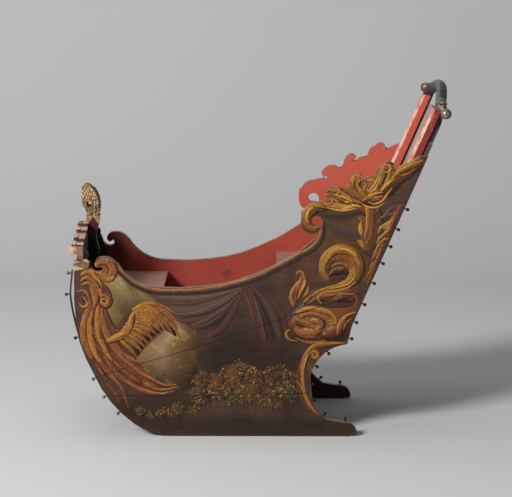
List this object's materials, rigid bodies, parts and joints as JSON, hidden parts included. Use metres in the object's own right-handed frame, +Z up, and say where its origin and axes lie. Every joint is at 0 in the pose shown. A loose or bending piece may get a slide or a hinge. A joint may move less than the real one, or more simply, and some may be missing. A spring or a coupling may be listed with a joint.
{
  "type": "push sled",
  "caption": "Hand-pushed ice sled with cut-out painted plank sides that form the runners, a red-lined seat body, a gilded bow crest and an arched leather-covered push handle.",
  "frame": {"origin": "on the ground under the middle of the sled's box", "axes": "+Z up, the bow points to -X, the push handle is at +X, -Y is the side that faces the camera"},
  "size_m": [1.2159, 0.6, 1.1145],
  "materials": {
    "painted_plank": "oil paint on oak, dark brown with gilded ornament, satin varnish",
    "red_wood": "worn red oil paint",
    "pink_wood": "thin pinkish paint worn to the wood",
    "plain_wood": "bare oak, aged",
    "panel_wood": "paint worn off where the back rests",
    "gilding": "carved wood with worn gilding",
    "iron": "dark rolled iron",
    "brass": "tarnished brass",
    "leather": "grey worn leather"
  },
  "bodies": {
    "root": {"near_lower_plank": "painted_plank", "near_middle_plank": "painted_plank", "near_upper_plank": "painted_plank", "near_runner_iron": "iron", "near_edge_knobs": "brass", "near_stile": "red_wood", "near_handle_end": "brass", "far_lower_plank": "painted_plank", "far_middle_plank": "painted_plank", "far_upper_plank": "painted_plank", "far_runner_iron": "iron", "far_edge_knobs": "brass", "far_stile": "red_wood", "far_handle_end": "brass", "floor_boards": "red_wood", "floor_bearers": "plain_wood", "bow_planking": "painted_plank", "stern_planking": "painted_plank", "fore_deck": "pink_wood", "deck_rear_strip": "pink_wood", "bulkhead": "red_wood", "deck_battens": "red_wood", "side_battens": "red_wood", "seat_board": "pink_wood", "seat_battens": "red_wood", "back_panel": "panel_wood", "back_rail": "red_wood", "handle_bar": "leather", "crest_board": "red_wood", "crest_knees": "red_wood", "crest_roll": "gilding", "crest_feet": "gilding", "crest_post": "red_wood", "finial": "gilding"}
  },
  "joints": []
}
